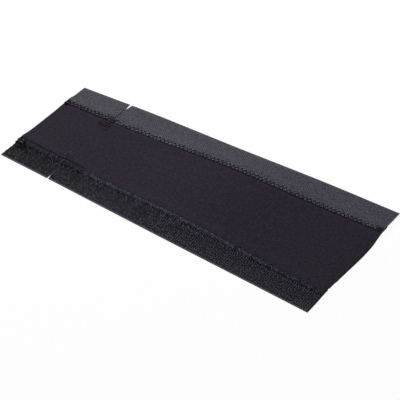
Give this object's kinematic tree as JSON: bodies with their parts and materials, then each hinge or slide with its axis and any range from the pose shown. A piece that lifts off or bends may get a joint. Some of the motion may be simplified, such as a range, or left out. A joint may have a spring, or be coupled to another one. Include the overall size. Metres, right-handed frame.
{
  "type": "chainstay protector",
  "caption": "Tapered neoprene wrap that guards a bicycle's chainstay, with a loop tape and a hook tape sewn along its long edges.",
  "frame": {"origin": "centre of the wrap's outline, on the surface that it lies on", "axes": "+X along the stay towards the wide end, +Y across the wrap towards the loop tape, +Z out of the outer face"},
  "size_m": [0.2516, 0.11, 0.0053],
  "materials": {
    "neoprene": "matte",
    "loop_tape": "matte",
    "hook_tape": "matte",
    "thread": "satin"
  },
  "bodies": {
    "root": {"neoprene_panel": "neoprene", "loop_tape": "loop_tape", "hook_tape": "hook_tape", "loop_seam_needle_thread": "thread", "loop_seam_bobbin_thread": "thread", "hook_seam_needle_thread": "thread", "hook_seam_bobbin_thread": "thread", "loop_side_darning_needle_thread": "thread", "loop_side_darning_bobbin_thread": "thread", "hook_side_darning_needle_thread": "thread", "hook_side_darning_bobbin_thread": "thread"}
  },
  "joints": []
}
